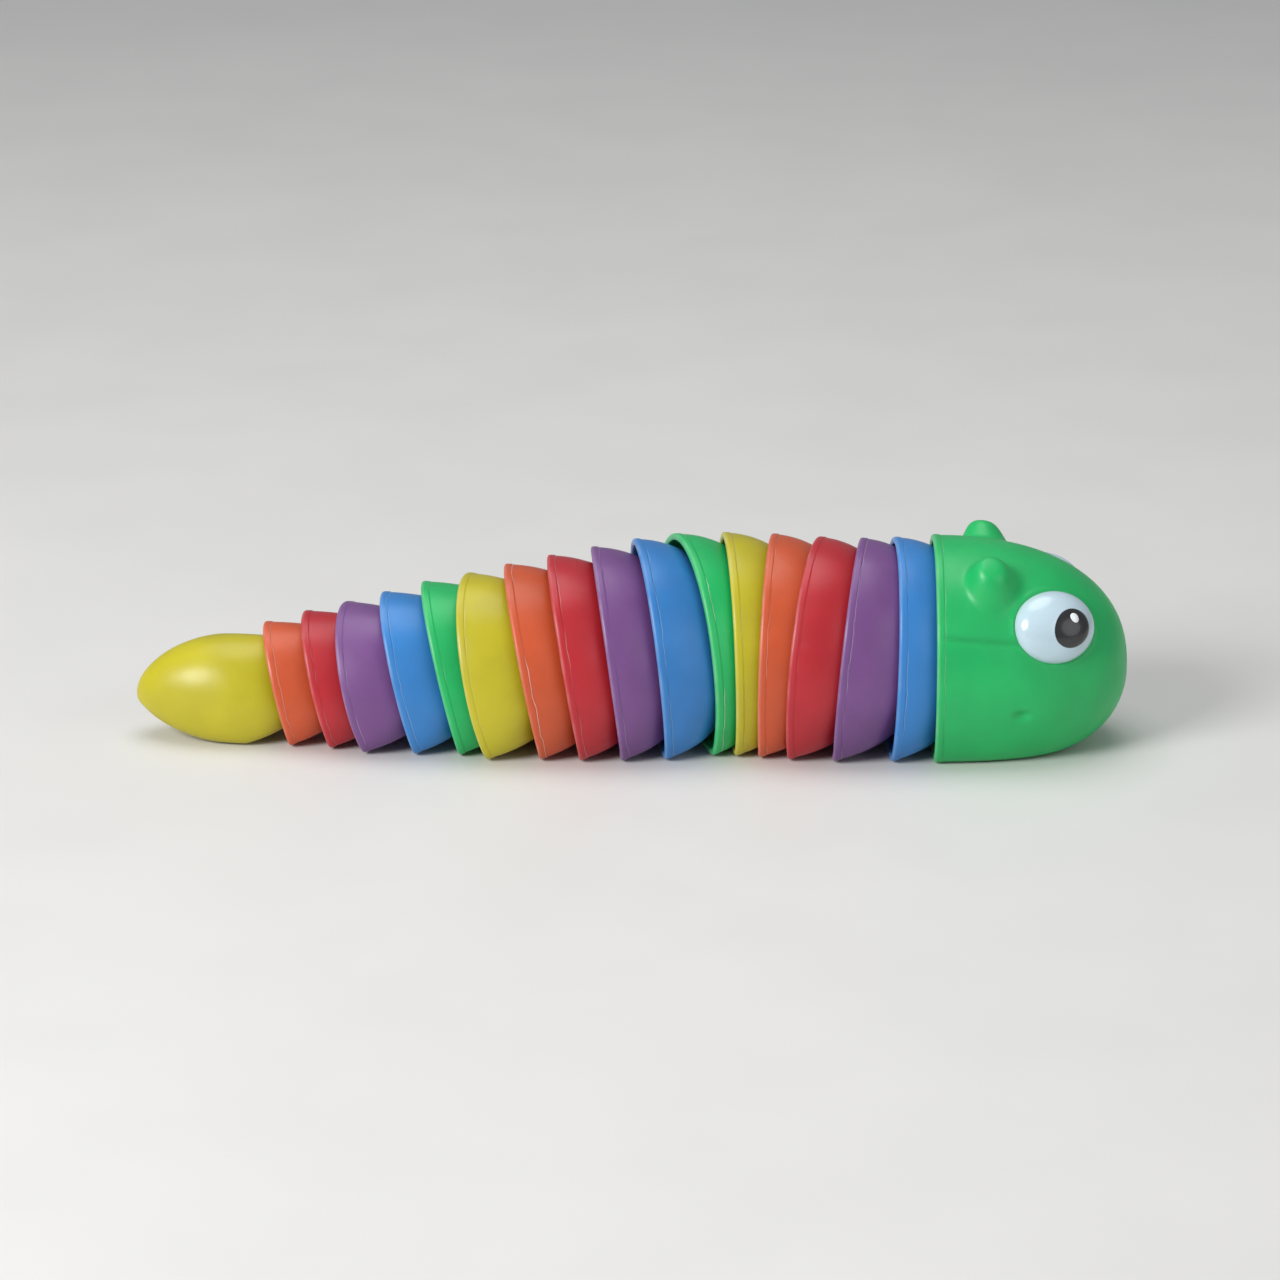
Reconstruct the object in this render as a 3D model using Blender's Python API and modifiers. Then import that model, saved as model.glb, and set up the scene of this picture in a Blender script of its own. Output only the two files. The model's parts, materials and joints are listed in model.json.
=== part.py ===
"""A jointed toy slug: a head, sixteen nested shells and a tail, hinged in a chain on upright pins.

The slug lies along X with its head towards +X and its belly on z = 0. The origin is on the
flat underside of the head. Each segment is drawn in its own frame and then placed along the
chain. That frame's origin is under the middle of the segment's own rear rim, which is on the
hinge to the segment ahead. The next hinge back is one pitch behind it.
"""

import math

import bmesh
import bpy
from mathutils import Matrix, Vector

# Driving dimensions, in metres and degrees
SEGMENTS = 18
PITCH = 0.008
FULL_HALF_WIDTH = 0.021
FULL_HEIGHT = 0.040
TAPER_FROM = 7.5
TAPER_SEGMENTS = 9.5
TAPER_POWER = 1.25
TAPER_HALF_WIDTH = 0.0095
TAPER_HEIGHT = 0.0175
WALL = 0.0012
HEAD_RIM_X = -0.010

# Rest pose: each segment's turn from the one ahead, in degrees about +Z
REST_TURNS = (2, -9, -5, 6, 10, 11, -8, -4, -2, 0, -11, 11, -3, -9, 8, 3, 0)

# Each segment's lean from upright, in degrees, positive where its top leans back
LEANS = (0, -2, -4.5, -2.8, -0.8, 1.4, 3.5, 5.5, 7.5, 9.5, 11, 12, 13, 13.5, 13.5, 13.5, 13, 12.5)

# A segment's outside is part of an ellipsoid about the hinge ahead of it, so it stays clear as it turns
SIDE_REACH_PER_TAPER = 0.0045
ROOF_REACH_PER_TAPER = 0.015
REACH_BASE = 0.0084
REACH_PER_WIDTH = 0.2
RING_SHARES = (1.0, 0.68, 0.36, 0.0)
FLOOR_SLOPE = 0.35
WIDEST = 0.38
KEEL_DEPTH = 1.5
KEEL_POWER = 3.4
SECTION_POINTS = 24

# Head and tail
HEAD_SWELL = 0.0005
HEAD_TIP_X = 0.038
HEAD_ROUND_POWER = 2.3
HEAD_FLAT_SHARE = 0.50
HEAD_RINGS = (0.0, 0.26, 0.50, 0.70, 0.85, 0.95, 0.99)
TAIL_TIP_X = -0.020
TAIL_ROUND_POWER = 1.7
TAIL_FLAT_SHARE = 0.30
TAIL_RINGS = (0.30, 0.56, 0.78, 0.92, 0.985)

# Hinge plates: two slanting strips inside each segment, the shares of its height where pins cross them
PLATE_BASE_HALF_WIDTH = 0.0006
PLATE_HALF_WIDTH_SHARE = 0.115
PLATE_THICKNESS = 0.045
PLATE_AT_FRONT_PIN = (0.685, 0.27)
PLATE_AT_REAR_PIN = (0.61, 0.345)
POST_X = (0.0067, 0.0090)
PLATE_TAIL = 0.0032
PLATE_SINK = 0.0005
PIN_RADIUS = 0.001
PIN_SIDES = 10
PRESS_GAP = 0.0002
TURN_GAP = 0.0003
BORE_FOOT = 0.0036
BORE_TOP_SHARE = 0.86

# Face: an eye ball each side with a pupil set in it, and two ears
EYE_RADII = (0.0082, 0.0044, 0.0070)
EYE_PLACE = (0.0225, 0.0145, 0.0272)
EYE_TURN = 20.0
EYE_TILT = 24.0
PUPIL_RADII = (0.0047, 0.0018, 0.0041)
PUPIL_SHIFT = (0.0013, 0.0029, -0.0005)
FACE_GAP = 0.0003
EYE_ROUND = (20, 12)
EAR_RADII = (0.0044, 0.0042, 0.0046)
EAR_PLACE = (0.011, 0.0126, 0.0350)

ROUGHNESS = 0.32
SHARP_ANGLE = 35.0
COLOURS = ("green", "blue", "purple", "red", "orange", "yellow")
PLASTICS = {
    "green": (0.027, 0.456, 0.141, 1),
    "blue": (0.055, 0.231, 0.578, 1),
    "purple": (0.195, 0.089, 0.270, 1),
    "red": (0.527, 0.030, 0.040, 1),
    "orange": (0.631, 0.122, 0.042, 1),
    "yellow": (0.552, 0.468, 0.032, 1),
    "white": (0.75, 0.80, 0.83, 1),
    "black": (0.03, 0.03, 0.032, 1),
    "natural": (0.70, 0.68, 0.62, 1),
}


def new_collection(name):
    made = bpy.data.collections.new(name)
    bpy.context.scene.collection.children.link(made)
    return made


def plastic(colour):
    """The Principled material of one colour, made once."""
    made = bpy.data.materials.get("plastic_" + colour)
    if made:
        return made
    made = bpy.data.materials.new("plastic_" + colour)
    made.use_nodes = True
    shader = made.node_tree.nodes["Principled BSDF"]
    shader.inputs["Base Color"].default_value = PLASTICS[colour]
    shader.inputs["Roughness"].default_value = ROUGHNESS
    return made


def new_object(name, bm, home, colour=None):
    """An object in a collection, made from a bmesh."""
    mesh = bpy.data.meshes.new(name)
    bm.to_mesh(mesh)
    bm.free()
    obj = bpy.data.objects.new(name, mesh)
    home.objects.link(obj)
    if colour:
        mesh.materials.append(plastic(colour))
        mesh.shade_smooth()
        mesh.set_sharp_from_angle(angle=math.radians(SHARP_ANGLE))
    else:
        obj.hide_render = True
        obj.display_type = "WIRE"
    return obj


def cylinder(radius, foot, top, place_x=0.0):
    """A bmesh of an upright cylinder between two heights."""
    bm = bmesh.new()
    middle = Matrix.Translation((place_x, 0, (foot + top) / 2))
    size = {"radius1": radius, "radius2": radius, "depth": top - foot, "segments": PIN_SIDES}
    bmesh.ops.create_cone(bm, cap_ends=True, matrix=middle, **size)
    return bm


def ellipsoid(radii, place, grow=0.0):
    """A bmesh of an ellipsoid, grown evenly by GROW."""
    bm = bmesh.new()
    size = Matrix.Diagonal([radius + grow for radius in radii] + [1])
    around, along = EYE_ROUND
    bmesh.ops.create_uvsphere(bm, u_segments=around, v_segments=along, radius=1, matrix=place @ size)
    return bm


def boolean(obj, operation, tool):
    change = obj.modifiers.new(operation.lower() + "_" + tool.name, "BOOLEAN")
    change.operation = operation
    change.object = tool


def section(half_width, middle, up, down, floor):
    """(y, z) points round a section, from the +Y side over the roof: two half ellipses and a flat floor."""
    points = []
    for step in range(SECTION_POINTS):
        turn = 2 * math.pi * (step + 0.5) / SECTION_POINTS
        height = (up if math.sin(turn) > 0 else down) * math.sin(turn)
        points.append((half_width * math.cos(turn), max(middle + height, floor)))
    return points


def skin(rings, front_tip=None, rear_tip=None):
    """An open bmesh through rings that run from front to rear, closed where a tip is given."""
    bm = bmesh.new()
    loops = [[bm.verts.new(point) for point in ring] for ring in rings]
    for ahead, behind in zip(loops, loops[1:]):
        for i in range(SECTION_POINTS):
            j = (i + 1) % SECTION_POINTS
            bm.faces.new((ahead[i], behind[i], behind[j], ahead[j]))
    for tip, loop, step in ((front_tip, loops[0], 1), (rear_tip, loops[-1], -1)):
        if tip is None:
            continue
        end = bm.verts.new(tip)
        for i in range(SECTION_POINTS):
            pair = (loop[i], loop[(i + 1) % SECTION_POINTS])[::step]
            bm.faces.new((end, *pair))
    return bm


def rounding(share, power=2.0):
    """Half-height of a superellipse at a share of its length."""
    return (1 - share**power) ** (1 / power)


def tapered(size, loss, number):
    """A size that falls off towards the tail, at a segment's number."""
    return size - loss * max(0.0, (number - TAPER_FROM) / TAPER_SEGMENTS) ** TAPER_POWER


class Segment:
    """One segment's outline, in a frame with its origin under the middle of its rear rim."""

    def __init__(self, number):
        self.number = number
        self.colour = COLOURS[(number - 1) % len(COLOURS)]
        swell = HEAD_SWELL if number == 1 else 0.0
        self.half_width = tapered(FULL_HALF_WIDTH, TAPER_HALF_WIDTH, number) + swell
        self.height = tapered(FULL_HEIGHT, TAPER_HEIGHT, number) + swell
        self.middle = WIDEST * self.height
        self.side_reach = tapered(FULL_HALF_WIDTH, SIDE_REACH_PER_TAPER, number)
        self.roof_reach = tapered(FULL_HALF_WIDTH, -ROOF_REACH_PER_TAPER, number)
        self.slope = math.tan(math.radians(LEANS[number - 1]))

    def lean(self, x, z):
        """X moved back in proportion to the height above the middle of the segment."""
        return x - self.slope * (z - self.height / 2)

    def ring(self, x, across, upright, downward, floor):
        """A ring at a station X, its section scaled about the widest level and cut off at a floor."""
        up = (self.height - self.middle) * upright
        down = KEEL_DEPTH * self.middle * downward
        outline = section(self.half_width * across, self.middle, up, down, floor)
        return [Vector((self.lean(x, z), y, z)) for y, z in outline]

    def front_ring(self, x):
        across = rounding(x / self.side_reach)
        return self.ring(x, across, rounding(x / self.roof_reach), across**KEEL_POWER, self.floor(x))

    def roof(self, x):
        if self.number == 1:
            scale = rounding(x / HEAD_TIP_X, HEAD_ROUND_POWER)
        else:
            scale = rounding(x / self.roof_reach)
        return self.middle + (self.height - self.middle) * scale

    def floor(self, x):
        return 0.0 if self.number == 1 else FLOOR_SLOPE * x

    def skin(self):
        if self.number == 1:
            return self.head_skin()
        reach = REACH_BASE + REACH_PER_WIDTH * self.half_width
        rings = [self.front_ring(share * reach) for share in RING_SHARES]
        return self.tail_skin(rings) if self.number == SEGMENTS else skin(rings)

    def end_ring(self, share, tip_x, power, flat_share):
        """A ring of the head or the tail, at a share of the way to its tip."""
        scale = rounding(share, power)
        curl = max(0.0, (share - flat_share) / (1 - flat_share))
        floor = self.middle * (1 - rounding(curl, power))
        return self.ring(tip_x * share, scale, scale, scale, floor)

    def head_skin(self):
        """The head: a rim like the other segments', rounded over to a blunt nose."""
        shape = (HEAD_TIP_X, HEAD_ROUND_POWER, HEAD_FLAT_SHARE)
        rings = [self.end_ring(share, *shape) for share in reversed(HEAD_RINGS)]
        return skin(rings, front_tip=(HEAD_TIP_X, 0, self.middle))

    def tail_skin(self, rings):
        """The tail: a front like the other segments', drawn out to a rounded point."""
        shape = (TAIL_TIP_X, TAIL_ROUND_POWER, TAIL_FLAT_SHARE)
        rings += [self.end_ring(share, *shape) for share in TAIL_RINGS]
        tip = (self.lean(TAIL_TIP_X, self.middle), 0, self.middle)
        return skin(rings, rear_tip=tip)


def plate_levels(segment):
    """(front pin level, rear pin level, root height) of the upper and the lower hinge plate."""
    root_x = sum(POST_X) / 2
    roof = segment.roof(root_x) - WALL + PLATE_SINK
    floor = segment.floor(root_x) + WALL - PLATE_SINK
    rear_height = tapered(FULL_HEIGHT, TAPER_HEIGHT, segment.number + 1)
    for front, rear, root in zip(PLATE_AT_FRONT_PIN, PLATE_AT_REAR_PIN, (roof, floor)):
        yield front * segment.height, rear * rear_height, root


def plate(segment, levels, is_last):
    """A bmesh of one hinge plate: a post down from the roof, or up from the floor, and a slanting strip."""
    front, rear, root = levels
    half = PLATE_THICKNESS * segment.height / 2
    side = 1 if root > front else -1
    end = -PLATE_TAIL if is_last else -PITCH - PLATE_TAIL

    def level(x, offset):
        return front + (front - rear) / PITCH * x + side * offset

    near, far = (segment.lean(x, root) for x in POST_X)
    outline = [(far, root), (near, root), (near, level(near, half)), (end, level(end, half))]
    outline += [(end, level(end, -half)), (far, level(far, -half))]
    bm = bmesh.new()
    reach = PLATE_BASE_HALF_WIDTH + PLATE_HALF_WIDTH_SHARE * segment.half_width
    face = bm.faces.new([bm.verts.new((x, -reach, z)) for x, z in outline[::side]])
    swept = bmesh.ops.extrude_face_region(bm, geom=[face])["geom"]
    corners = [item for item in swept if isinstance(item, bmesh.types.BMVert)]
    bmesh.ops.translate(bm, vec=(0, 2 * reach, 0), verts=corners)
    bmesh.ops.recalc_face_normals(bm, faces=bm.faces)
    return bm


def make_shell(segment, behind, place, name, parts, cutters):
    """One segment's wall with its hinge plates, and their holes for the pins ahead and behind."""
    shell = new_object(name, segment.skin(), parts, segment.colour)
    shell.matrix_world = place
    wall = shell.modifiers.new("wall", "SOLIDIFY")
    wall.thickness = WALL
    wall.offset = -1
    wall.use_even_offset = True

    def change(operation, kind, bm):
        tool = new_object(f"{kind}_{segment.number:02d}", bm, cutters)
        tool.matrix_world = place
        boolean(shell, operation, tool)

    upper, lower = plate_levels(segment)
    change("UNION", "upper_plate", plate(segment, upper, behind is None))
    change("UNION", "lower_plate", plate(segment, lower, behind is None))
    span = (BORE_FOOT, BORE_TOP_SHARE * segment.height)
    if behind:
        change("DIFFERENCE", "press_bore", cylinder(PIN_RADIUS + PRESS_GAP, *span, -PITCH))
    if segment.number > 1:
        change("DIFFERENCE", "turn_bore", cylinder(PIN_RADIUS + TURN_GAP, *span))
    return shell


def make_pin(behind, place, parts):
    """The hinge pin between a segment and the one BEHIND it, flush with the outer hinge plates."""
    half = PLATE_THICKNESS / 2
    top = (PLATE_AT_FRONT_PIN[0] + half) * behind.height
    foot = (PLATE_AT_FRONT_PIN[1] - half) * behind.height
    name = f"hinge_pin_{behind.number - 1:02d}"
    pin = new_object(name, cylinder(PIN_RADIUS, foot, top), parts, "natural")
    pin.matrix_world = place


def make_ears(head, cutters):
    """Two low rounded ears, joined to the head."""
    for side, name in ((1, "left"), (-1, "right")):
        x, y, z = EAR_PLACE
        bm = ellipsoid(EAR_RADII, Matrix.Translation((x, side * y, z)))
        ear = new_object("ear_" + name, bm, cutters)
        ear.matrix_world = head.matrix_world
        boolean(head, "UNION", ear)


def make_eyes(head, parts, cutters):
    """An eye each side, let into the head, with a pupil let into each eye."""
    for side, name in ((1, "left"), (-1, "right")):
        x, y, z = EYE_PLACE
        turn = Matrix.Rotation(math.radians(-side * EYE_TURN), 4, "Z")
        tilt = Matrix.Rotation(math.radians(side * EYE_TILT), 4, "X")
        place = Matrix.Translation((x, side * y, z)) @ turn @ tilt
        eye = new_object("eye_white_" + name, ellipsoid(EYE_RADII, place), parts, "white")
        recess = new_object("eye_recess_" + name, ellipsoid(EYE_RADII, place, FACE_GAP), cutters)
        inner = place @ Matrix.Translation((PUPIL_SHIFT[0], side * PUPIL_SHIFT[1], PUPIL_SHIFT[2]))
        pupil = new_object("pupil_" + name, ellipsoid(PUPIL_RADII, inner), parts, "black")
        pocket = new_object("pupil_pocket_" + name, ellipsoid(PUPIL_RADII, inner, FACE_GAP), cutters)
        for obj in (eye, recess, pupil, pocket):
            obj.matrix_world = head.matrix_world
        boolean(head, "DIFFERENCE", recess)
        boolean(eye, "DIFFERENCE", pocket)


def shell_name(segment):
    if segment.number == 1:
        return f"head_shell_{segment.colour}"
    if segment.number == SEGMENTS:
        return f"tail_shell_{segment.colour}"
    return f"shell_{segment.number:02d}_{segment.colour}"


def build():
    for obj in list(bpy.data.objects):
        bpy.data.objects.remove(obj)
    parts = new_collection("jointed_slug")
    cutters = new_collection("slug_cutters")
    segments = [Segment(number) for number in range(1, SEGMENTS + 1)]
    place = Matrix.Translation((HEAD_RIM_X, 0, 0))
    for segment, behind in zip(segments, [*segments[1:], None]):
        shell = make_shell(segment, behind, place, shell_name(segment), parts, cutters)
        if segment.number == 1:
            make_ears(shell, cutters)
            make_eyes(shell, parts, cutters)
        if behind:
            place = place @ Matrix.Translation((-PITCH, 0, 0))
            make_pin(behind, place, parts)
            place = place @ Matrix.Rotation(math.radians(REST_TURNS[segment.number - 1]), 4, "Z")


build()
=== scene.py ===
"""The looks of the jointed toy slug: fine shells, a modelled face and satin plastic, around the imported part.

Every segment's size and place is read from the frame. A segment is drawn in its own frame, whose origin
is under the middle of its rear rim, on the hinge to the segment ahead.
"""

import json
import math

import bmesh
import bpy
import numpy as np
from mathutils import Matrix, Vector

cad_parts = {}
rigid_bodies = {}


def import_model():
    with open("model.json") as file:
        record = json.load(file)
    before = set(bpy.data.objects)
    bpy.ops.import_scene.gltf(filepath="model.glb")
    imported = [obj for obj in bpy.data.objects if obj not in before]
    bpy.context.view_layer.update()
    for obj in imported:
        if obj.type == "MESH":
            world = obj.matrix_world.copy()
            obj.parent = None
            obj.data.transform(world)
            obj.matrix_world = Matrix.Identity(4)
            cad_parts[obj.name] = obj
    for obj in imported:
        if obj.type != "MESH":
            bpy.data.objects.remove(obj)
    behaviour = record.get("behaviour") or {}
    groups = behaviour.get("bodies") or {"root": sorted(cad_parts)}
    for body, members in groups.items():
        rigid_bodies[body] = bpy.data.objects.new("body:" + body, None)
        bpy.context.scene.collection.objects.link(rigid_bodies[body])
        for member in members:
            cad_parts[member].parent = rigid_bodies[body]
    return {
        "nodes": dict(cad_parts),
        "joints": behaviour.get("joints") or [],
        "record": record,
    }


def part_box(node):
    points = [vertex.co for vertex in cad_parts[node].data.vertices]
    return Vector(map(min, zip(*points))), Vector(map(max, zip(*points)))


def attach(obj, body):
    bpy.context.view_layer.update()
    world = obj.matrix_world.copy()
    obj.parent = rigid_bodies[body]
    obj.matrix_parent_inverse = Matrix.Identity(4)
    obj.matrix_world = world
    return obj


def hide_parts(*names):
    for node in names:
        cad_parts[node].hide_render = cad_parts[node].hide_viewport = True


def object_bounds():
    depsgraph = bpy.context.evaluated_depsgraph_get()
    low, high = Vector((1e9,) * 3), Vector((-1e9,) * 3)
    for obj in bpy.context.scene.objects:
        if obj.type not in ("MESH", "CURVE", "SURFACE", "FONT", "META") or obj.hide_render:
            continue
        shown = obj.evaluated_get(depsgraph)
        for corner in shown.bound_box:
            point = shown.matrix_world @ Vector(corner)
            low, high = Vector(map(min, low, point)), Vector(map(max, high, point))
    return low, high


MM = 0.001

# Outline of a segment, as in the part
WIDEST = 0.38
KEEL_DEPTH = 1.5
KEEL_POWER = 3.4
FLOOR_SLOPE = 0.35
FULL_REACH = 21.0 * MM
SIDE_REACH_PER_NARROWING = 0.474
ROOF_REACH_PER_NARROWING = 1.579
REACH_BASE = 8.4 * MM
REACH_PER_WIDTH = 0.2
HEAD_TIP_X = 38.0 * MM
HEAD_ROUND_POWER = 2.3
HEAD_FLAT_SHARE = 0.50
TAIL_TIP_X = -20.0 * MM
TAIL_ROUND_POWER = 1.7
TAIL_FLAT_SHARE = 0.30
TAIL_HOLLOW_SHARE = 0.90

# Wall, and the lip along each rear rim
WALL = 1.2 * MM
CORNER_SOFTNESS = 1.3 * MM
LIP_WIDTH = 1.5 * MM
LIP_RISE = 0.13 * MM
LIP_SHOULDER = 0.22 * MM
RIM_SQUARENESS = 2.6

# Mesh of the walls: points round a section, stations along it, and where the stations start and stop
AROUND = 144
AROUND_HEAD = 288
HEAD_STATIONS = 100
TAIL_STATIONS = 44
MIDDLE_STATIONS = 22
LIP_STATIONS = 11
RIM_STATIONS = 11
INSIDE_STATIONS = 9
TAIL_INSIDE_STATIONS = 6
INSIDE_EVERY = 3
TIP_STOP = 0.006
HEAD_STOP = 0.075
CLEAR_OF_ROUND = 1.15
INSIDE_START = 1.3
FAR_FROM_RIM = 100.0
SHARP_ANGLE = 40.0

# Steps for the numeric normals, and the part's own coarseness
STATION_STEP = 1e-8
TURN_STEP = 1e-5
PART_SECTION_POINTS = 24

# Hinge plates and pins
PLATE_BASE_HALF_WIDTH = 0.45 * MM
PLATE_HALF_WIDTH_SHARE = 0.115
PLATE_THICKNESS = 0.041
PLATE_AT_FRONT_PIN = (0.685, 0.285)
PLATE_AT_REAR_PIN = (0.61, 0.345)
POST_X = (6.7 * MM, 9.0 * MM)
PLATE_TAIL = 3.2 * MM
PLATE_SINK = 0.5 * MM
PLATE_BEVEL = 0.12 * MM
BORE_RADIUS = 1.25 * MM
BORE_SPAN = (0.05, 0.88)
PIN_RADIUS = 1.0 * MM
PIN_CHAMFER = 0.22 * MM
PIN_SIDES = 40

# Face
EYE_TURN = 20.0
EYE_TILT = 24.0
EYE_RADII = (8.2 * MM, 4.4 * MM, 7.0 * MM)
PUPIL_RADII = (4.7 * MM, 1.8 * MM, 4.1 * MM)
PUPIL_SHIFT = (1.3 * MM, 2.9 * MM, -0.5 * MM)
EYE_RINGS = 40
HIGHLIGHT_RADII = (1.0 * MM, 0.35 * MM, 1.2 * MM)
HIGHLIGHT_RINGS = 16
HIGHLIGHT_SHIFT = (1.2 * MM, 1.42 * MM, 1.3 * MM)
SOCKET_BEAD = 0.30 * MM
SOCKET_SHARE = 1.06
SOCKET_WIDTH = 0.05
SOCKET_HOLLOW = 0.9 * MM
SOCKET_HOLLOW_SHARE = 0.90
SOCKET_HOLLOW_FADE = 0.03
EAR_X = 11.0 * MM
EAR_ACROSS = 0.60
EAR_LEVEL = 0.885
EAR_SPREAD = (4.3 * MM, 4.5 * MM, 5.4 * MM)
EAR_RISE = 4.7 * MM
EAR_LEAN = (-0.08, 0.42, 0.90)
EAR_BLUNTNESS = 2.3
MARK_BLUNTNESS = 1.5

# Marks on each side of the face: shares of the head's half width and height, radii, and height
FACE_MARKS = (
    (0.115, 0.455, (2.0 * MM, 0.85 * MM, 0.65 * MM), -0.55 * MM),
    (0.145, 0.482, (2.0 * MM, 0.62 * MM, 0.50 * MM), -0.40 * MM),
    (0.915, 0.275, (1.5 * MM, 2.0 * MM, 0.9 * MM), -0.7 * MM),
    (0.860, 0.340, (5.5 * MM, 5.0 * MM, 4.5 * MM), 0.4 * MM),
)
FOLD_LEVEL = 0.66
FOLD_FALL = 0.10
FOLD_WIDTH = 0.50 * MM
FOLD_DEPTH = 0.32 * MM
FOLD_START = 1.6 * MM
FOLD_END = 16.0 * MM
FOLD_FADE = 1.0 * MM

# Colours, linear
PLASTICS = {
    "green": (0.009, 0.440, 0.115),
    "blue": (0.030, 0.200, 0.530),
    "purple": (0.170, 0.066, 0.226),
    "red": (0.45, 0.015, 0.024),
    "orange": (0.56, 0.085, 0.024),
    "yellow": (0.48, 0.420, 0.012),
}
EYE_COLOUR = (0.52, 0.67, 0.75)
PUPIL_COLOUR = (0.018, 0.018, 0.021)
HIGHLIGHT_COLOUR = (0.85, 0.88, 0.9)
PIN_COLOURS = (0.60, 0.58, 0.52), (0.72, 0.70, 0.64)
FLOOR_COLOURS = (0.70, 0.69, 0.67), (0.76, 0.75, 0.73)
LIP_HIGHLIGHT_COLOUR = (0.92, 0.92, 0.9)
RIM_COLOUR = (0.9, 0.9, 0.9)
DUST_COLOUR = (0.8, 0.8, 0.78)

# The pale line painted as a highlight behind each lip, in mm from the rim, and how strong it is on each
# segment
LIP_HIGHLIGHT_FROM_RIM = 1.62
LIP_HIGHLIGHT_WANDER = 1.1
LIP_HIGHLIGHT_HALF_WIDTHS = (0.10, 0.03)
STRONG_LIP_HIGHLIGHT_SHELLS = {7: 1.0, 11: 0.8}
USUAL_LIP_HIGHLIGHT = 0.3

# Camera
LENS = 145.0
SENSOR = 36.0
CAMERA_DISTANCE = 1.0
CAMERA_ELEVATION = 18.0
CAMERA_LOOKS_AT = (1.8 * MM, 20.0 * MM)

# Studio, in metres: each lamp's name, place from the object's middle, disc size and watts
LAMPS = (
    ("key_light", (-0.68, -0.66, 0.55), 0.50, 9.5),
    ("top_light", (-0.05, 0.10, 0.95), 0.80, 4.0),
    ("fill_light", (0.75, -0.60, 0.40), 0.70, 1.4),
)
LAMP_AIM_HEIGHT = 0.02
FLOOR_SIZE = 6.0
WORLD_COLOUR = (0.85, 0.88, 0.92)
WORLD_STRENGTH = 0.30


# ---------------------------------------------------------------- materials


class Shader:
    """A node material in the making, with short calls for its nodes."""

    def __init__(self, name):
        self.material = bpy.data.materials.new(name)
        self.material.use_nodes = True
        self.tree = self.material.node_tree
        self.surface = self.tree.nodes["Principled BSDF"]
        self.place = self.node("ShaderNodeTexCoord").outputs["Object"]

    def node(self, kind, **settings):
        made = self.tree.nodes.new(kind)
        for key, value in settings.items():
            setattr(made, key, value)
        return made

    def join(self, source, target):
        """Puts a socket's output, or a plain value, into an input."""
        if isinstance(source, bpy.types.NodeSocket):
            self.tree.links.new(source, target)
        else:
            target.default_value = source

    def noise(self, scale, detail=3.0, stretch=(1, 1, 1)):
        mapping = self.node("ShaderNodeMapping")
        mapping.inputs["Scale"].default_value = stretch
        self.join(self.place, mapping.inputs["Vector"])
        made = self.node("ShaderNodeTexNoise")
        self.join(mapping.outputs["Vector"], made.inputs["Vector"])
        made.inputs["Scale"].default_value = scale
        made.inputs["Detail"].default_value = detail
        return made.outputs["Fac"]

    def ramp(self, value, low, high, low_out=0.0, high_out=1.0):
        """A smooth step from low_out to high_out as the value goes from low to high."""
        made = self.node("ShaderNodeMapRange", interpolation_type="SMOOTHSTEP")
        self.join(value, made.inputs["Value"])
        for socket, number in zip(made.inputs[1:5], (low, high, low_out, high_out)):
            socket.default_value = number
        return made.outputs["Result"]

    def patches(self, scale, detail, low_out=0.0, high_out=1.0):
        """Soft patches between two values."""
        return self.ramp(self.noise(scale, detail), 0.3, 0.7, low_out, high_out)

    def math(self, operation, first, second=0.0):
        made = self.node("ShaderNodeMath", operation=operation)
        self.join(first, made.inputs[0])
        self.join(second, made.inputs[1])
        return made.outputs["Value"]

    def times(self, first, second):
        return self.math("MULTIPLY", first, second)

    def plus(self, first, second):
        return self.math("ADD", first, second)

    def mix(self, share, first, second):
        made = self.node("ShaderNodeMix", data_type="RGBA")
        self.join(share, made.inputs["Factor"])
        for value, socket in ((first, made.inputs[6]), (second, made.inputs[7])):
            self.join(value if isinstance(value, bpy.types.NodeSocket) else (*value, 1.0), socket)
        return made.outputs[2]

    def attribute(self, name):
        return self.node("ShaderNodeAttribute", attribute_name=name).outputs["Fac"]

    def specks(self, spacing, radius):
        """A mask of sparse round specks: about four in ten of the cells hold one."""
        made = self.node("ShaderNodeTexVoronoi", feature="F1")
        self.join(self.place, made.inputs["Vector"])
        made.inputs["Scale"].default_value = 1 / spacing
        share = radius / spacing
        near = self.ramp(made.outputs["Distance"], low=share, high=share * 0.6)
        chosen = self.ramp(made.outputs["Color"], low=0.60, high=0.62)
        return self.times(near, chosen)

    def bump(self, height, depth):
        made = self.node("ShaderNodeBump")
        made.inputs["Strength"].default_value = 1.0
        made.inputs["Distance"].default_value = depth
        self.join(height, made.inputs["Height"])
        return made

    def set(self, **values):
        for key, value in values.items():
            self.join(value, self.surface.inputs[key.replace("_", " ")])


def scaled(colour, factor):
    return tuple(min(1.0, channel * factor) for channel in colour)


def toward(colour, other, share):
    return tuple(a + (b - a) * share for a, b in zip(colour, other))


def painted_lip_highlight(shader, rim):
    """A ragged painted highlight: a pale line just ahead of the lip, broken into stretches and fainter on most
    segments.
    """
    wander = shader.times(shader.math("SUBTRACT", shader.noise(scale=210, detail=5), 0.5), LIP_HIGHLIGHT_WANDER)
    away = shader.math("ABSOLUTE", shader.math("SUBTRACT", shader.plus(rim, wander), LIP_HIGHLIGHT_FROM_RIM))
    line = shader.times(shader.ramp(away, *LIP_HIGHLIGHT_HALF_WIDTHS), shader.attribute("scuff"))
    return shader.times(line, shader.ramp(shader.noise(scale=75, detail=2), low=0.42, high=0.56))


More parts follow.
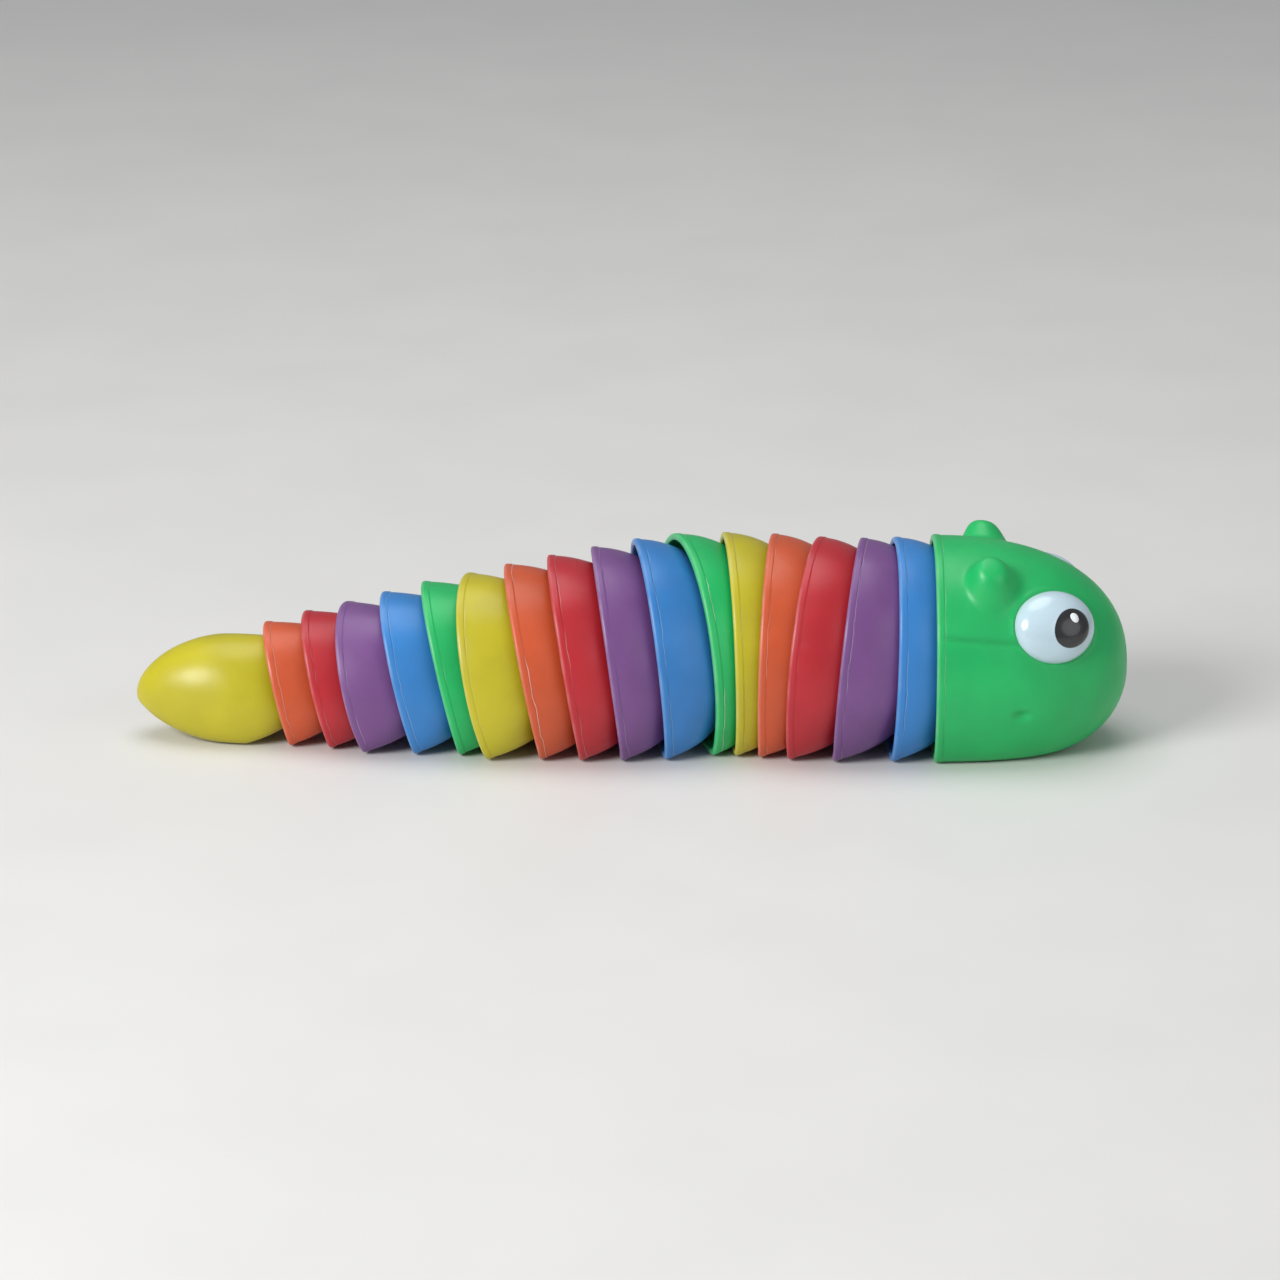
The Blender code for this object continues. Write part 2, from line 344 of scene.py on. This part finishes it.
def body_plastic(name, colour):
    """Satin moulded plastic: mottled a little, paler at the rim, with a painted highlight line, dust and
    hairlines.
    """
    shader = Shader(name)
    base = shader.mix(shader.patches(90, 4), scaled(colour, 0.93), scaled(colour, 1.06))
    rim = shader.attribute("rim_mm")
    patchy = shader.ramp(shader.noise(scale=260), low=0.35, high=0.7, low_out=0.35, high_out=0.9)
    edge = shader.times(shader.ramp(rim, low=0.9, high=0.15), patchy)
    base = shader.mix(shader.times(edge, 0.55), base, toward(colour, RIM_COLOUR, 0.22))
    # Painted highlight: a pale ragged line just ahead of the lip
    scuff = painted_lip_highlight(shader, rim)
    base = shader.mix(shader.times(scuff, 0.75), base, toward(colour, LIP_HIGHLIGHT_COLOUR, 0.7))
    # Painted shade: darker along the head's fold, where the crease's shadow falls
    base = shader.mix(shader.times(shader.attribute("fold"), 0.30), base, scaled(colour, 0.45))
    dust = shader.specks(7 * MM, 0.13 * MM)
    base = shader.mix(shader.times(dust, 0.6), base, DUST_COLOUR)

    hairlines = shader.ramp(shader.noise(scale=300, detail=2, stretch=(1.0, 0.05, 1.0)), low=0.64, high=0.72)
    rough = shader.plus(shader.patches(140, 4, low_out=0.36, high_out=0.46), shader.times(dust, 0.3))
    rough = shader.plus(rough, shader.times(hairlines, 0.06))
    orange_peel = shader.bump(shader.noise(scale=620), 0.018 * MM)
    # The painted highlight line and the dust specks also get a slight bump
    marks = shader.bump(shader.plus(scuff, dust), 0.03 * MM)
    shader.join(orange_peel.outputs["Normal"], marks.inputs["Normal"])
    shader.set(Base_Color=base, Roughness=rough, Normal=marks.outputs["Normal"], Subsurface_Weight=0.12)
    shader.set(Subsurface_Scale=1.6 * MM, Coat_Weight=0.06, Coat_Roughness=0.25, IOR=1.49)
    shader.surface.inputs["Subsurface Radius"].default_value = (1.0, 0.8, 0.6)
    return shader.material


def eye_plastic(name, colour, roughness):
    """Glossy plastic, with the faintest mottling and a few dust specks."""
    shader = Shader(name)
    base = shader.mix(shader.patches(160, 3), scaled(colour, 0.95), scaled(colour, 1.04))
    dust = shader.specks(5 * MM, 0.09 * MM)
    base = shader.mix(shader.times(dust, 0.4), base, (0.7, 0.7, 0.7))
    rough = shader.patches(220, 3, low_out=roughness, high_out=roughness + 0.07)
    waves = shader.bump(shader.noise(scale=350, detail=2), 0.01 * MM)
    shader.set(Base_Color=base, Roughness=rough, Normal=waves.outputs["Normal"], Coat_Weight=0.5)
    shader.set(Coat_Roughness=0.06, IOR=1.5)
    return shader.material


def pin_plastic(name):
    """Uncoloured matte plastic with fine rings round the upright pin."""
    shader = Shader(name)
    base = shader.mix(shader.patches(400, 4), *PIN_COLOURS)
    rough = shader.patches(500, 3, low_out=0.42, high_out=0.55)
    rings = shader.bump(shader.noise(scale=900, detail=2, stretch=(0.05, 0.05, 1.0)), 0.02 * MM)
    shader.set(Base_Color=base, Roughness=rough, Normal=rings.outputs["Normal"], Subsurface_Weight=0.1)
    shader.set(Subsurface_Scale=1.0 * MM)
    return shader.material


def floor_paint(name):
    """Pale matte paint, a little uneven."""
    shader = Shader(name)
    base = shader.mix(shader.noise(scale=6, detail=4), *FLOOR_COLOURS)
    shader.set(Base_Color=base, Roughness=shader.patches(30, 3, low_out=0.55, high_out=0.7))
    return shader.material


# ---------------------------------------------------------------- segments


def soft_max(first, second, softness):
    """The larger of two values, rounded off where they cross."""
    return (first + second + np.sqrt((first - second) ** 2 + softness**2)) / 2


def rounding(share, power=2.0):
    """Half-height of a superellipse at a share of its length."""
    return np.maximum(1 - np.abs(share) ** power, 0.0) ** (1 / power)


class Segment:
    """One segment: its place and size from the frame, and its outside as a function."""

    def __init__(self, number, count, body, shell, place):
        self.number = number
        self.body = body
        self.shell = shell
        self.place = place
        self.colour = shell.name.rsplit("_", 1)[-1]
        self.is_head = number == 1
        self.is_tail = number == count
        inward = place.inverted()
        corners = np.array([inward @ vertex.co for vertex in shell.data.vertices])
        # The head's size is taken at its rim, since its ears stand higher
        rear = corners[corners[:, 0] < 1.0 * MM] if self.is_head else corners
        facet = math.cos(math.pi / PART_SECTION_POINTS)
        self.half_width = np.abs(rear[:, 1]).max() / facet
        self.height = rear[:, 2].max() / (WIDEST + (1 - WIDEST) * facet)
        self.middle = WIDEST * self.height
        narrowing = max(0.0, FULL_REACH - self.half_width)
        self.side_reach = FULL_REACH - SIDE_REACH_PER_NARROWING * narrowing
        self.roof_reach = FULL_REACH + ROOF_REACH_PER_NARROWING * narrowing
        self.front = REACH_BASE + REACH_PER_WIDTH * self.half_width
        crest = corners[corners[:, 2].argmax()]
        self.slope = 0.0 if self.is_head else -crest[0] / (crest[2] - self.height / 2)

    def scales(self, x):
        """(across, upright, downward, floor) of the section at each station X."""
        if self.is_head:
            return self.end_scales(x / HEAD_TIP_X, HEAD_ROUND_POWER, HEAD_FLAT_SHARE)
        across = rounding(x / self.side_reach)
        forward = (across, rounding(x / self.roof_reach), across**KEEL_POWER, FLOOR_SLOPE * x)
        if not self.is_tail:
            return forward
        behind = self.end_scales(x / TAIL_TIP_X, TAIL_ROUND_POWER, TAIL_FLAT_SHARE)
        return tuple(np.where(x < 0, back, ahead) for back, ahead in zip(behind, forward))

    def end_scales(self, share, power, flat_share):
        """The same at a share of the way to a closed end, where the floor curls up past the flat share."""
        scale = rounding(share, power)
        curl = np.maximum(0.0, (share - flat_share) / (1 - flat_share))
        return scale, scale, scale, self.middle * (1 - rounding(curl, power))

    def outside(self, x, turn):
        """Points of the smooth outside at stations X and angles TURN, both arrays."""
        across, upright, downward, floor = self.scales(x)
        up = (self.height - self.middle) * upright
        down = KEEL_DEPTH * self.middle * downward
        lift = np.where(np.sin(turn) > 0, up, down) * np.sin(turn)
        softness = CORNER_SOFTNESS * np.minimum(1.0, 4 * across)
        z = soft_max(self.middle + lift, floor, softness)
        y = self.half_width * across * np.cos(turn)
        return np.stack([x - self.slope * (z - self.height / 2), y, z], axis=-1)

    def outward(self, x, turn):
        """Unit normals of the outside."""
        along = self.outside(x + STATION_STEP, turn) - self.outside(x - STATION_STEP, turn)
        about = self.outside(x, turn + TURN_STEP) - self.outside(x, turn - TURN_STEP)
        normal = np.cross(about, along)
        return normal / np.linalg.norm(normal, axis=-1, keepdims=True)

    def roof(self, x):
        scales = self.scales(np.array([x]))
        return float(self.middle + (self.height - self.middle) * scales[1][0])

    def floor(self, x):
        return 0.0 if self.is_head else FLOOR_SLOPE * x


def lip(x):
    """How far the outside stands proud at a distance X from the rim: a low band with a soft shoulder."""
    step = 1 / (1 + np.exp((x - LIP_WIDTH) / (LIP_SHOULDER / 4)))
    return LIP_RISE * step


def rim_profile():
    """(station, depth) pairs round the rim's edge, from the outside to the inside."""
    radius = WALL / 2
    angles = np.linspace(0, math.pi, RIM_STATIONS)
    sideways = np.sign(np.cos(angles)) * np.abs(np.cos(angles)) ** (2 / RIM_SQUARENESS)
    outward = np.abs(np.sin(angles)) ** (2 / RIM_SQUARENESS)
    return [(radius * (1 - out), radius * (1 - side)) for out, side in zip(outward, sideways)]


def mouth_profile(segment):
    """The same round the front edge."""
    return [(segment.front - x, depth) for x, depth in rim_profile()]


def spaced(start, end, count):
    return list(np.linspace(start, end, count))


def wall_profile(segment):
    """(station, depth) pairs along the wall's cut, from outside to inside, and whether it ends on tips."""
    radius = WALL / 2
    clear = radius * CLEAR_OF_ROUND
    lip_stations = spaced(LIP_WIDTH + 2 * LIP_SHOULDER, LIP_WIDTH - 2 * LIP_SHOULDER, LIP_STATIONS)
    near_rim = [*lip_stations, *spaced(LIP_WIDTH - 3 * LIP_SHOULDER, clear, 3)]
    if segment.is_head:
        turns = spaced(math.pi / 2 - TIP_STOP, HEAD_STOP, HEAD_STATIONS)
        stations = [HEAD_TIP_X * math.sin(turn) for turn in turns]
        outside = [*stations, *near_rim]
        inside = stations[::INSIDE_EVERY][::-1]
        return joined(outside, rim_profile(), inside), True
    ahead = spaced(segment.front - radius, LIP_WIDTH + 3.5 * LIP_SHOULDER, MIDDLE_STATIONS)
    if segment.is_tail:
        turns = spaced(math.pi / 2 - TIP_STOP, 0.0, TAIL_STATIONS)
        behind = [TAIL_TIP_X * math.sin(turn) for turn in turns]
        outside = [*behind, *spaced(0.3 * MM, LIP_WIDTH, 4), *ahead[:0:-1]]
        inside = spaced(segment.front - clear, LIP_WIDTH, TAIL_INSIDE_STATIONS)
        inside += [x for x in behind[::INSIDE_EVERY][::-1] if x > TAIL_HOLLOW_SHARE * TAIL_TIP_X]
        return joined(outside, mouth_profile(segment), inside), True
    inside = spaced(radius * INSIDE_START, segment.front - clear, INSIDE_STATIONS)
    wall = joined([*ahead, *near_rim], rim_profile(), inside)
    return wall + mouth_profile(segment)[:0:-1], False


def joined(outside, edge, inside):
    """The pairs along the outside, round an edge and back along the inside."""
    return [(x, 0.0) for x in outside] + edge + [(x, WALL) for x in inside]


def bump_weight(points, centre, radii, bluntness=MARK_BLUNTNESS):
    """A soft round weight, 1 at the centre and near 0 past the radii, flatter on top where it is blunter."""
    away = (points - np.array(centre)) / np.array(radii)
    return np.exp(-((away**2).sum(axis=-1)) ** bluntness)


def on_face(head, across_share, height_share):
    """The point of the head's front at a share of its half width and of its height."""
    y = across_share * head.half_width
    z = height_share * head.height
    reach = (head.height - head.middle) if z > head.middle else KEEL_DEPTH * head.middle
    scale = math.hypot(across_share, (z - head.middle) / reach)
    return (HEAD_TIP_X * float(rounding(scale, HEAD_ROUND_POWER)), y, z)


def mirrored(centre):
    """A point on the left, and its match on the right."""
    x, y, z = centre
    return [(x, y, z), (x, -y, z)]


def ear_shift(points, head):
    """Two short rounded ears, drawn up and a little outward from the head."""
    shift = np.zeros(points.shape)
    ear = (EAR_X, EAR_ACROSS * head.half_width, EAR_LEVEL * head.height)
    for centre, direction in zip(mirrored(ear), mirrored(EAR_LEAN)):
        weight = bump_weight(points, centre, EAR_SPREAD, EAR_BLUNTNESS)
        shift += weight[..., None] * np.array(direction) * EAR_RISE
    return shift


def fold_share(points, head):
    """1 along the middle of the fold that runs from the rim to each eye, 0 away from it."""
    level = FOLD_LEVEL * head.height - FOLD_FALL * points[..., 0]
    across = np.exp(-(((points[..., 2] - level) / FOLD_WIDTH) ** 2))
    rear_fade = 1 / (1 + np.exp((FOLD_START - points[..., 0]) / (FOLD_FADE / 3)))
    front_fade = 1 / (1 + np.exp((points[..., 0] - FOLD_END) / FOLD_FADE))
    return across * rear_fade * front_fade


def face_relief(points, head):
    """Heights along the normal: two comma nostrils, the mouth's corners, low cheeks and two folds."""
    raised = np.zeros(points.shape[:-1])
    for across, level, radii, height in FACE_MARKS:
        for centre in mirrored(on_face(head, across, level)):
            raised += height * bump_weight(points, centre, radii)
    return raised - FOLD_DEPTH * fold_share(points, head)


def socket_relief(points, head):
    """A low bead round each eye, and a shallow hollow under it."""
    raised = np.zeros(points.shape[:-1])
    for side in (1, -1):
        inward = np.array(eye_place(head, side).inverted())
        local = points @ inward[:3, :3].T + inward[:3, 3]
        share = np.hypot(local[..., 0] / EYE_RADII[0], local[..., 2] / EYE_RADII[2])
        same_side = points[..., 1] * side > 0
        bead = SOCKET_BEAD * np.exp(-(((share - SOCKET_SHARE) / SOCKET_WIDTH) ** 2))
        hollow = SOCKET_HOLLOW / (1 + np.exp((share - SOCKET_HOLLOW_SHARE) / SOCKET_HOLLOW_FADE))
        raised += np.where(same_side, bead - hollow, 0.0)
    return raised


def eye_place(head, side):
    """The frame of the eye on a side, in the head's frame."""
    low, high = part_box("eye_white_left" if side > 0 else "eye_white_right")
    middle = head.place.inverted() @ ((low + high) / 2)
    turn = Matrix.Rotation(math.radians(-side * EYE_TURN), 4, "Z")
    tilt = Matrix.Rotation(math.radians(side * EYE_TILT), 4, "X")
    return Matrix.Translation(middle) @ turn @ tilt


def wall_points(segment, x, turn, depth):
    """Points of the wall at stations, angles and depths under the outside, and each one's share of a fold,
    which is painted darker as shade.
    """
    points = segment.outside(x, turn)
    normal = segment.outward(x, turn)
    outer_share = np.clip(1 - depth / (WALL / 2), 0.0, 1.0)
    raised = np.zeros(x.shape) if segment.is_tail else lip(x)
    fold_shade = np.zeros(x.shape)
    if segment.is_head:
        fold_shade = fold_share(points, segment)
        raised = raised + face_relief(points, segment) + socket_relief(points, segment)
        points += ear_shift(points, segment) * outer_share[..., None]
    return points + normal * (raised * outer_share - depth)[..., None], fold_shade


def lofted(segment, profile, closed_tips):
    """The wall as one closed mesh: the profile's pairs carried round the section."""
    around = AROUND_HEAD if segment.is_head else AROUND
    turns = 2 * math.pi * (np.arange(around) + 0.5) / around
    stations, depths = (np.array(values) for values in zip(*profile))
    x, turn = np.meshgrid(stations, turns, indexing="ij")
    points, fold_shade = wall_points(segment, x, turn, depths[:, None])
    bm = bmesh.new()
    rim_mm, scuff, fold = (bm.verts.layers.float.new(name) for name in ("rim_mm", "scuff", "fold"))
    loops = []
    for row, station, shares in zip(points, stations, fold_shade):
        loops.append([bm.verts.new(point) for point in row])
        for vertex, share in zip(loops[-1], shares):
            vertex[rim_mm] = FAR_FROM_RIM if segment.is_tail else station / MM
            # How strong the painted highlight line behind the lip is on this segment
            vertex[scuff] = STRONG_LIP_HIGHLIGHT_SHELLS.get(segment.number, USUAL_LIP_HIGHLIGHT)
            # The fold's share, which the material paints darker as shade
            vertex[fold] = share
    pairs = list(zip(loops, loops[1:]))
    if not closed_tips:
        pairs.append((loops[-1], loops[0]))
    for ahead, behind in pairs:
        for i in range(around):
            j = (i + 1) % around
            bm.faces.new((ahead[i], behind[i], behind[j], ahead[j]))
    if closed_tips:
        for loop in (loops[0], loops[-1][::-1]):
            tip = bm.verts.new(sum((vertex.co for vertex in loop), Vector()) / around)
            tip[rim_mm] = FAR_FROM_RIM
            for i in range(around):
                bm.faces.new((tip, loop[i], loop[(i + 1) % around]))
    return bm


def smoothed(mesh):
    mesh.shade_smooth()
    mesh.set_sharp_from_angle(angle=math.radians(SHARP_ANGLE))


def finished(name, bm, place, material):
    """An object from a bmesh in its own frame, with its points put in the object's frame."""
    bmesh.ops.recalc_face_normals(bm, faces=bm.faces)
    bm.transform(place)
    mesh = bpy.data.meshes.new(name)
    bm.to_mesh(mesh)
    bm.free()
    mesh.materials.append(material)
    smoothed(mesh)
    made = bpy.data.objects.new(name, mesh)
    bpy.context.scene.collection.objects.link(made)
    return made


def make_wall(segment, material):
    """The fine shell that stands for a segment's node."""
    bm = lofted(segment, *wall_profile(segment))
    made = finished(segment.shell.name + "_skin", bm, segment.place, material)
    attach(made, segment.body)
    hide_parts(segment.shell.name)


# ---------------------------------------------------------------- hinges


def plate_outline(segment, front, rear, root, pitch):
    """(x, z) corners of a hinge plate: a post from the wall and a slanting strip under the next segment."""
    half = PLATE_THICKNESS * segment.height / 2
    side = 1 if root > front else -1
    end = -PLATE_TAIL if segment.is_tail else -pitch - PLATE_TAIL
    lean = segment.slope * (root - segment.height / 2)
    near, far = (x - lean for x in POST_X)

    def level(x, offset):
        return front + (front - rear) / pitch * x + side * offset

    corners = [(far, root), (near, root), (near, level(near, half)), (end, level(end, half))]
    return corners + [(end, level(end, -half)), (far, level(far, -half))]


def upright_cylinder(bm, radius, foot, top, x):
    middle = Matrix.Translation((x, 0, (foot + top) / 2))
    size = {"radius1": radius, "radius2": radius, "depth": top - foot, "segments": PIN_SIDES}
    bmesh.ops.create_cone(bm, cap_ends=True, matrix=middle, **size)


def cut_away(obj, cutter):
    """Cuts one object's shape out of another for good, and removes the cutter."""
    cut = obj.modifiers.new("cut", "BOOLEAN")
    cut.operation = "DIFFERENCE"
    cut.object = cutter
    graph = bpy.context.evaluated_depsgraph_get()
    obj.data = bpy.data.meshes.new_from_object(obj.evaluated_get(graph))
    obj.modifiers.clear()
    bpy.data.objects.remove(cutter)
    smoothed(obj.data)


def make_plates(segment, next_height, pitch, material):
    """The two hinge plates of a segment, with softened edges and bored for the pins."""
    root_x = sum(POST_X) / 2
    roots = (segment.roof(root_x) - WALL + PLATE_SINK, segment.floor(root_x) + WALL - PLATE_SINK)
    reach = PLATE_BASE_HALF_WIDTH + PLATE_HALF_WIDTH_SHARE * segment.half_width
    bm = bmesh.new()
    for front, rear, root in zip(PLATE_AT_FRONT_PIN, PLATE_AT_REAR_PIN, roots):
        outline = plate_outline(segment, front * segment.height, rear * next_height, root, pitch)
        face = bm.faces.new([bm.verts.new((x, -reach, z)) for x, z in outline])
        swept = bmesh.ops.extrude_face_region(bm, geom=[face])["geom"]
        corners = [item for item in swept if isinstance(item, bmesh.types.BMVert)]
        bmesh.ops.translate(bm, vec=(0, 2 * reach, 0), verts=corners)
    bmesh.ops.recalc_face_normals(bm, faces=bm.faces)
    bmesh.ops.bevel(bm, geom=bm.edges[:], offset=PLATE_BEVEL, segments=2, affect="EDGES", profile=0.5)
    name = segment.shell.name + "_hinge_plates"
    plates = finished(name, bm, segment.place, material)
    bores = bmesh.new()
    foot, top = (share * segment.height for share in BORE_SPAN)
    if not segment.is_head:
        upright_cylinder(bores, BORE_RADIUS, foot, top, 0.0)
    if not segment.is_tail:
        upright_cylinder(bores, BORE_RADIUS, foot, top, -pitch)
    cut_away(plates, finished(name + "_bores", bores, segment.place, material))
    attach(plates, segment.body)


def make_pin(node, body, material):
    """A turned pin with chamfered ends, in the place of its node."""
    low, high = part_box(node)
    bm = bmesh.new()
    upright_cylinder(bm, PIN_RADIUS, low.z, high.z, 0.0)
    ends = [edge for edge in bm.edges if edge.calc_face_angle() > math.radians(SHARP_ANGLE)]
    bmesh.ops.bevel(bm, geom=ends, offset=PIN_CHAMFER, segments=2, affect="EDGES", profile=0.6)
    middle = (low + high) / 2
    pin = finished(node + "_turned", bm, Matrix.Translation((middle.x, middle.y, 0)), material)
    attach(pin, body)
    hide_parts(node)


# ---------------------------------------------------------------- eyes


def ball(radii, place, rings=EYE_RINGS):
    bm = bmesh.new()
    size = Matrix.Diagonal((*radii, 1.0))
    bmesh.ops.create_uvsphere(bm, u_segments=2 * rings, v_segments=rings, radius=1, matrix=place @ size)
    return bm


def shifted(shift, side):
    x, y, z = shift
    return Matrix.Translation((x, side * y, z))


def make_eyes(head, materials):
    """Each eye: a glossy pale oval, a dark pupil let into it and a small painted highlight."""
    white, black, glint = materials
    for side, name in ((1, "left"), (-1, "right")):
        place = eye_place(head, side)
        eye = finished("eye_white_" + name + "_fine", ball(EYE_RADII, place), head.place, white)
        inner = place @ shifted(PUPIL_SHIFT, side)
        pupil = finished("pupil_" + name + "_fine", ball(PUPIL_RADII, inner), head.place, black)
        spot = inner @ shifted(HIGHLIGHT_SHIFT, side)
        highlight = ball(HIGHLIGHT_RADII, spot, HIGHLIGHT_RINGS)
        dot = finished("eye_highlight_" + name, highlight, head.place, glint)
        for piece in (eye, pupil, dot):
            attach(piece, head.body)
        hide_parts("eye_white_" + name)
        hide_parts("pupil_" + name)


# ---------------------------------------------------------------- assembly


def chain(frame):
    """The segments from head to tail, and the pitch.

    Each hinge's range is centred on straight, so the middle of its range undoes the turn it has at rest.
    """
    joints = frame["joints"]
    parents = [joint["parent"] for joint in joints]
    bodies = [*parents, joints[-1]["child"]]
    members = frame["record"]["behaviour"]["bodies"]
    shells = [next(node for node in members[body] if "shell" in node) for body in bodies]
    hinges = [Vector((*joint["pos_m"][:2], 0)) for joint in joints]
    pitch = (hinges[1] - hinges[0]).length
    place = Matrix.Translation(hinges[0] + Vector((pitch, 0, 0)))
    segments = []
    heading = 0.0
    for i, (body, shell) in enumerate(zip(bodies, shells)):
        if i:
            heading -= sum(joints[i - 1]["range_deg"]) / 2
            place = Matrix.Translation(hinges[i - 1]) @ Matrix.Rotation(math.radians(heading), 4, "Z")
        segments.append(Segment(i + 1, len(bodies), body, frame["nodes"][shell], place))
    return segments, pitch


def add_light(name, place, target, size, watts):
    lamp = bpy.data.lights.new(name, "AREA")
    lamp.shape = "DISK"
    lamp.size = size
    lamp.energy = watts
    made = bpy.data.objects.new(name, lamp)
    made.location = place
    made.rotation_euler = (target - place).to_track_quat("-Z", "Y").to_euler()
    bpy.context.scene.collection.objects.link(made)


def make_studio(middle):
    """A wide pale floor, soft disc lamps and an even pale world, with plain colour handling."""
    bpy.ops.mesh.primitive_plane_add(size=FLOOR_SIZE, location=(middle.x, middle.y, 0))
    ground = bpy.context.object
    ground.name = "studio_floor"
    ground.data.materials.append(floor_paint("floor_paint"))
    aim = Vector((middle.x, middle.y, LAMP_AIM_HEIGHT))
    for name, (x, y, z), size, watts in LAMPS:
        add_light(name, Vector((middle.x + x, middle.y + y, z)), aim, size, watts)
    world = bpy.data.worlds.new("soft_world")
    world.use_nodes = True
    world.node_tree.nodes["Background"].inputs["Color"].default_value = (*WORLD_COLOUR, 1.0)
    world.node_tree.nodes["Background"].inputs["Strength"].default_value = WORLD_STRENGTH
    bpy.context.scene.world = world
    bpy.context.scene.view_settings.view_transform = "Standard"


def make_camera(middle_x):
    lens = bpy.data.cameras.new("camera")
    lens.lens = LENS
    lens.sensor_width = SENSOR
    made = bpy.data.objects.new("camera", lens)
    angle = math.radians(CAMERA_ELEVATION)
    back = Vector((0, -math.cos(angle), math.sin(angle))) * CAMERA_DISTANCE
    shift, level = CAMERA_LOOKS_AT
    made.location = Vector((middle_x + shift, 0, level)) + back
    made.rotation_euler = (-back).to_track_quat("-Z", "Y").to_euler()
    bpy.context.scene.collection.objects.link(made)
    bpy.context.scene.camera = made


def build():
    """The whole scene, with the studio and camera placed round the middle of the imported part's box."""
    for obj in list(bpy.data.objects):
        bpy.data.objects.remove(obj)
    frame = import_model()
    cad_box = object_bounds()
    segments, pitch = chain(frame)
    plastics = {colour: body_plastic("satin_" + colour, value) for colour, value in PLASTICS.items()}
    heights = [segment.height for segment in segments]
    heights.append(2 * heights[-1] - heights[-2])
    for segment, next_height in zip(segments, heights[1:]):
        make_wall(segment, plastics[segment.colour])
        make_plates(segment, next_height, pitch, plastics[segment.colour])
    pin_material = pin_plastic("uncoloured_plastic")
    for body, nodes in frame["record"]["behaviour"]["bodies"].items():
        for node in nodes:
            if node.startswith("hinge_pin"):
                make_pin(node, body, pin_material)
    white = eye_plastic("eye_white_gloss", EYE_COLOUR, roughness=0.18)
    black = eye_plastic("pupil_gloss", PUPIL_COLOUR, roughness=0.24)
    glint = eye_plastic("highlight_paint", HIGHLIGHT_COLOUR, roughness=0.2)
    make_eyes(segments[0], (white, black, glint))
    low, high = (Vector(corner) for corner in cad_box)
    middle = (low + high) / 2
    make_studio(middle)
    make_camera(middle.x)


build()
